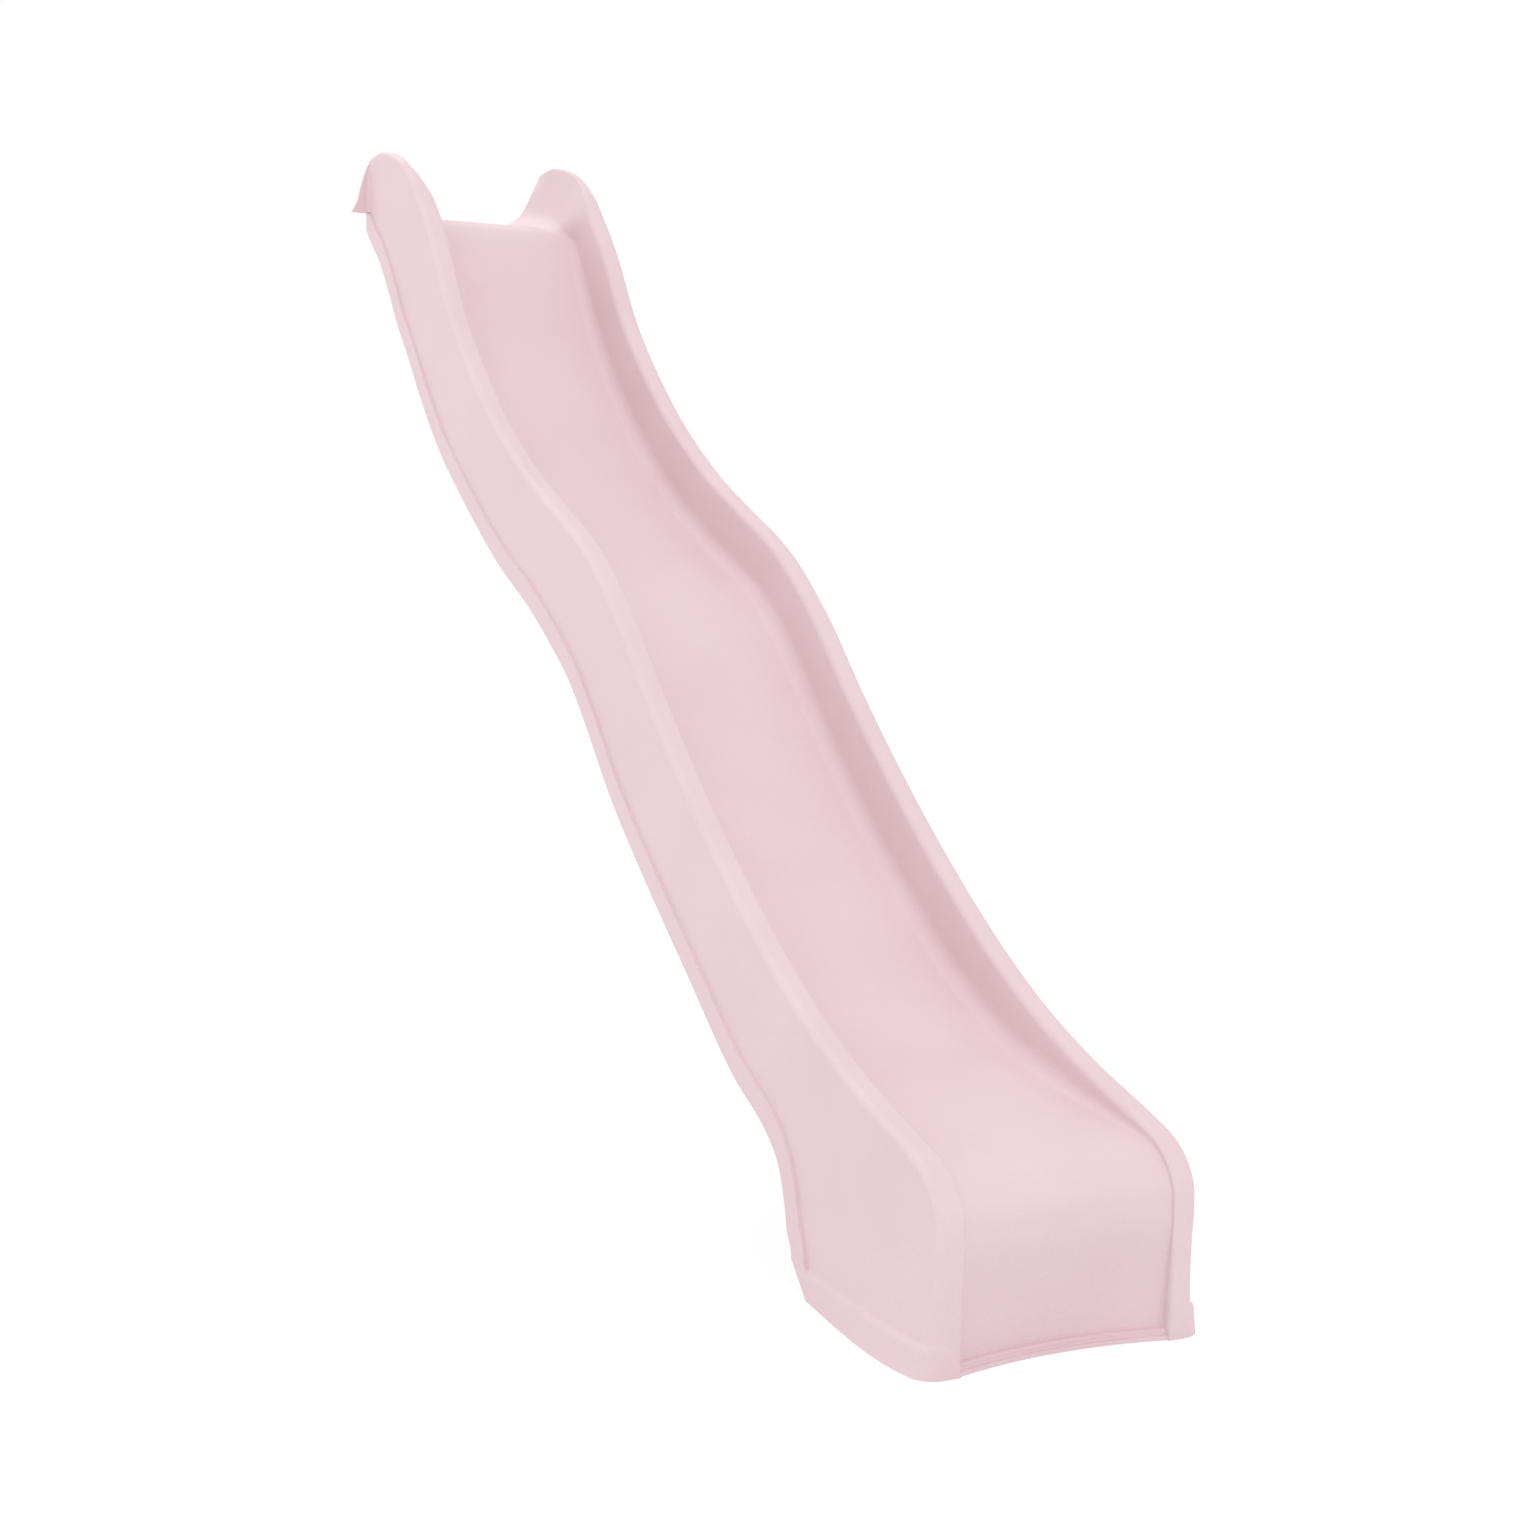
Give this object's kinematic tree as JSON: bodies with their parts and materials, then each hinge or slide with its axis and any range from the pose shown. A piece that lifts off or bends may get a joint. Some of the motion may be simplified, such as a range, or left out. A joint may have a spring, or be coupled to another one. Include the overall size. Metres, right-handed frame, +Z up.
{
  "type": "playground slide",
  "caption": "Wavy one-piece playground slide for a raised platform: a sloped trough with rounded rims, a boxed foot on the ground and a screwed lip on the deck.",
  "frame": {"origin": "the middle of the part's footprint, on the ground that the foot stands on", "axes": "+Z up; +Y from the foot up towards the platform; +X to the right of someone who stands in front of the foot and looks at the platform"},
  "size_m": [0.42, 2.159, 1.611],
  "materials": {
    "chute_plastic": "pale pink polyethylene with a fine pebbled, satin surface",
    "cap_plastic": "smooth pink plastic",
    "screw_steel": "bright zinc-plated steel"
  },
  "bodies": {
    "root": {"chute_shell": "chute_plastic", "deck_screw_1": "screw_steel", "deck_screw_2": "screw_steel", "deck_screw_3": "screw_steel", "deck_screw_4": "screw_steel", "cup_washer_1": "cap_plastic", "cup_washer_2": "cap_plastic", "cup_washer_3": "cap_plastic", "cup_washer_4": "cap_plastic", "cap_lid_1": "cap_plastic", "cap_lid_2": "cap_plastic", "cap_lid_3": "cap_plastic", "cap_lid_4": "cap_plastic"}
  },
  "joints": []
}
